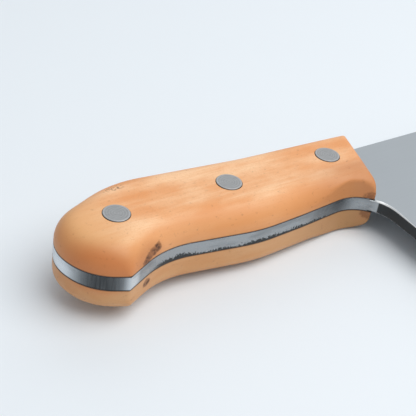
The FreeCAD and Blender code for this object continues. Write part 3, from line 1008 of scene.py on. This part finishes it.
class CLEAVER_OT_rivets(bpy.types.Operator):
    """Turns the three rivets, each a post from above and a sleeve from below"""

    bl_idname = "cleaver.rivets"
    bl_label = "Rivets"

    def execute(self, context):
        settings = context.scene.cleaver_rivets
        rule = rivet_rule()
        steel = rivet_steel(settings)
        for side, boxes, node in (("upper", POSTS, "post"), ("lower", SLEEVES, "sleeve")):
            upper = side == "upper"
            centres = {place: middle(boxes[place]) for place in PLACES}
            face = boxes["rear"][1].z if upper else boxes["rear"][0].z
            length = boxes["rear"][1].z - boxes["rear"][0].z - HEAD_THICK * MM
            bore = 0.0 if upper else length - 0.1 * MM
            values = {
                "Head radius": HEAD_RADIUS,
                "Head thickness": HEAD_THICK * MM,
                "Edge round": settings.edge_round,
                "Ring depth": settings.ring_depth,
                "Ring step": settings.ring_step,
                "Shank radius": SHANK[side] * MM,
                "Shank length": length,
                "Bore radius": PIN_RADIUS * MM,
                "Bore depth": bore,
                "Seed": 3 if upper else 8,
                "First": Vector((centres["rear"].x, centres["rear"].y, face)),
                "Step": (centres["middle"] - centres["rear"]) * Vector((1, 1, 0)),
                "Turn": (0.0, 0.0, 0.0) if upper else (math.pi, 0.0, 0.0),
                "Material": steel,
            }
            mesh = outward(run_rule(rule, f"{side}_rivets", values))
            names = [f"{place}_rivet_{node}" for place in PLACES]
            place_piece(f"{side}_rivets", mesh, steel, "rivet_steel", *names)
        return {"FINISHED"}


# Camera and lamps: metres from the middle rivet. Densities: grams per cubic centimetre.
LOOKS_FROM = Vector((-0.17742, -0.20300, 0.17745))
VIEW_TURN = math.radians(-40.02)
VIEW_PITCH = math.radians(54.99)
VIEW_ROLL = math.radians(9.53)
LENS_MM = 86.56
LIGHT_AT = Vector((0.27, -0.40, 1.02))
LIGHT_SIZE = 1.2
PANEL_AT = Vector((0.527, 0.627, 0.574)) * 1.5
PANEL_SIZE = (1.8, 1.0)
TABLE_HALF = 6.0
STEEL_DENSITY = 7.85
WOOD_DENSITY = 0.72


class CLEAVER_OT_stage(bpy.types.Operator):
    """Lays the table top under the knife and sets the light and camera"""

    bl_idname = "cleaver.stage"
    bl_label = "Stage"

    def execute(self, context):
        settings = context.scene.cleaver_stage
        normal, point = self.resting_plane()
        self.table(settings, normal, point)
        self.light(context, settings, normal)
        self.camera(context)
        context.scene.view_settings.view_transform = "Standard"
        return {"FINISHED"}

    def resting_plane(self):
        """The hull face that the knife stands on: the one under its centre of mass."""
        hull = bmesh.new()
        mass, moment = 0.0, Vector()
        for name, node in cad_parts.items():
            density = WOOD_DENSITY if "scale" in name else STEEL_DENSITY
            solid = bmesh.new()
            solid.from_mesh(node.data)
            for face in solid.faces:
                a, b, c = (v.co for v in face.verts)
                part = a.dot(b.cross(c)) * density / 6
                mass += part
                moment += part * (a + b + c) / 4
            for vert in solid.verts:
                hull.verts.new(vert.co)
            solid.free()
        bmesh.ops.remove_doubles(hull, verts=hull.verts, dist=SAME_POINT)
        bmesh.ops.convex_hull(hull, input=hull.verts)
        bmesh.ops.triangulate(hull, faces=hull.faces)
        centre = moment / mass
        for face in hull.faces:
            face.normal_update()
            n = face.normal
            if n.z > -0.5:
                continue
            foot = centre - n * (centre - face.verts[0].co).dot(n)
            a, b, c = (v.co for v in face.verts)
            sides = [(q - p).cross(foot - p).dot(n) for p, q in ((a, b), (b, c), (c, a))]
            if min(sides) >= 0 or max(sides) <= 0:
                found = (-n.copy(), a.copy())
                hull.free()
                return found
        raise RuntimeError("the knife has no face to rest on")

    def table(self, settings, normal, point):
        """A wide plain sheet."""
        r = Recipe("table_top")
        mottle = r.noise((0.004, 0.004, 0.004), 2.0)
        pale = tuple(settings.floor)
        material = r.finish(
            {
                "Base Color": r.blend(mottle, pale, tuple(c * 0.985 for c in pale)),
                "Roughness": 0.7,
            }
        )
        mesh = bpy.data.meshes.new("table_top")
        across = normal.to_track_quat("Z", "Y").to_matrix()
        corners = [
            point + across @ Vector((x * TABLE_HALF, y * TABLE_HALF, 0))
            for x, y in ((-1, -1), (1, -1), (1, 1), (-1, 1))
        ]
        mesh.from_pydata([tuple(c) for c in corners], [], [(0, 1, 2, 3)])
        mesh.materials.append(material)
        top = bpy.data.objects.new("table_top", mesh)
        bpy.context.scene.collection.objects.link(top)

    def light(self, context, settings, normal):
        """A broad soft light overhead on the right, a pale panel behind and a pale room."""
        data = bpy.data.lights.new("soft_light", "AREA")
        data.shape = "DISK"
        data.size = LIGHT_SIZE
        data.energy = settings.light_power
        data.color = (1.0, 0.985, 0.965)
        lamp = bpy.data.objects.new("soft_light", data)
        self.aim(context, lamp, HANDLE_ORIGIN + LIGHT_AT)
        panel = bpy.data.lights.new("back_panel", "AREA")
        panel.shape = "RECTANGLE"
        panel.size, panel.size_y = PANEL_SIZE
        panel.energy = settings.panel_power
        panel.color = (0.95, 0.98, 1.0)
        self.aim(context, bpy.data.objects.new("back_panel", panel), HANDLE_ORIGIN + PANEL_AT)
        world = bpy.data.worlds.new("pale_room")
        world.use_nodes = True
        background = world.node_tree.nodes["Background"]
        background.inputs["Color"].default_value = (0.90, 0.95, 1.0, 1.0)
        background.inputs["Strength"].default_value = settings.sky
        context.scene.world = world

    def aim(self, context, lamp, at):
        """Puts a lamp at a place and turns it to the handle."""
        lamp.location = at
        lamp.rotation_euler = (HANDLE_ORIGIN - at).to_track_quat("-Z", "Y").to_euler()
        context.scene.collection.objects.link(lamp)

    def camera(self, context):
        """The camera, over the butt of the handle and looking along it."""
        data = bpy.data.cameras.new("camera")
        data.lens = LENS_MM
        data.sensor_width = 36.0
        data.clip_start = 0.01
        camera = bpy.data.objects.new("camera", data)
        target = Vector((HANDLE_ORIGIN.x, HANDLE_ORIGIN.y, HEADS_TOP - 0.3 * MM))
        turn = Matrix.Rotation(VIEW_TURN, 4, "Z") @ Matrix.Rotation(VIEW_PITCH, 4, "X")
        turn = turn @ Matrix.Rotation(VIEW_ROLL, 4, "Z")
        camera.matrix_world = Matrix.Translation(target + LOOKS_FROM) @ turn
        context.scene.collection.objects.link(camera)
        context.scene.camera = camera


class CLEAVER_PT_panel(bpy.types.Panel):
    """Lists the pieces in the sidebar"""

    bl_label = "Cleaver"
    bl_idname = "CLEAVER_PT_panel"
    bl_space_type = "VIEW_3D"
    bl_region_type = "UI"
    bl_category = "Cleaver"

    def draw(self, context):
        for operator in OPERATORS:
            self.layout.operator(operator.bl_idname)


OPERATORS = (
    CLEAVER_OT_blade,
    CLEAVER_OT_scales,
    CLEAVER_OT_cement,
    CLEAVER_OT_rivets,
    CLEAVER_OT_stage,
)
SETTINGS = {
    "cleaver_blade": BladeSettings,
    "cleaver_handle": HandleSettings,
    "cleaver_rivets": RivetSettings,
    "cleaver_stage": StageSettings,
}


def register():
    for kind in (*SETTINGS.values(), *OPERATORS, CLEAVER_PT_panel):
        bpy.utils.register_class(kind)
    for name, kind in SETTINGS.items():
        setattr(bpy.types.Scene, name, bpy.props.PointerProperty(type=kind))


def unregister():
    for name in SETTINGS:
        delattr(bpy.types.Scene, name)
    for kind in (CLEAVER_PT_panel, *reversed(OPERATORS), *reversed(SETTINGS.values())):
        bpy.utils.unregister_class(kind)


def main():
    register()
    bpy.ops.cleaver.blade()
    bpy.ops.cleaver.scales()
    bpy.ops.cleaver.cement()
    bpy.ops.cleaver.rivets()
    bpy.ops.cleaver.stage()


if __name__ == "__main__":
    main()
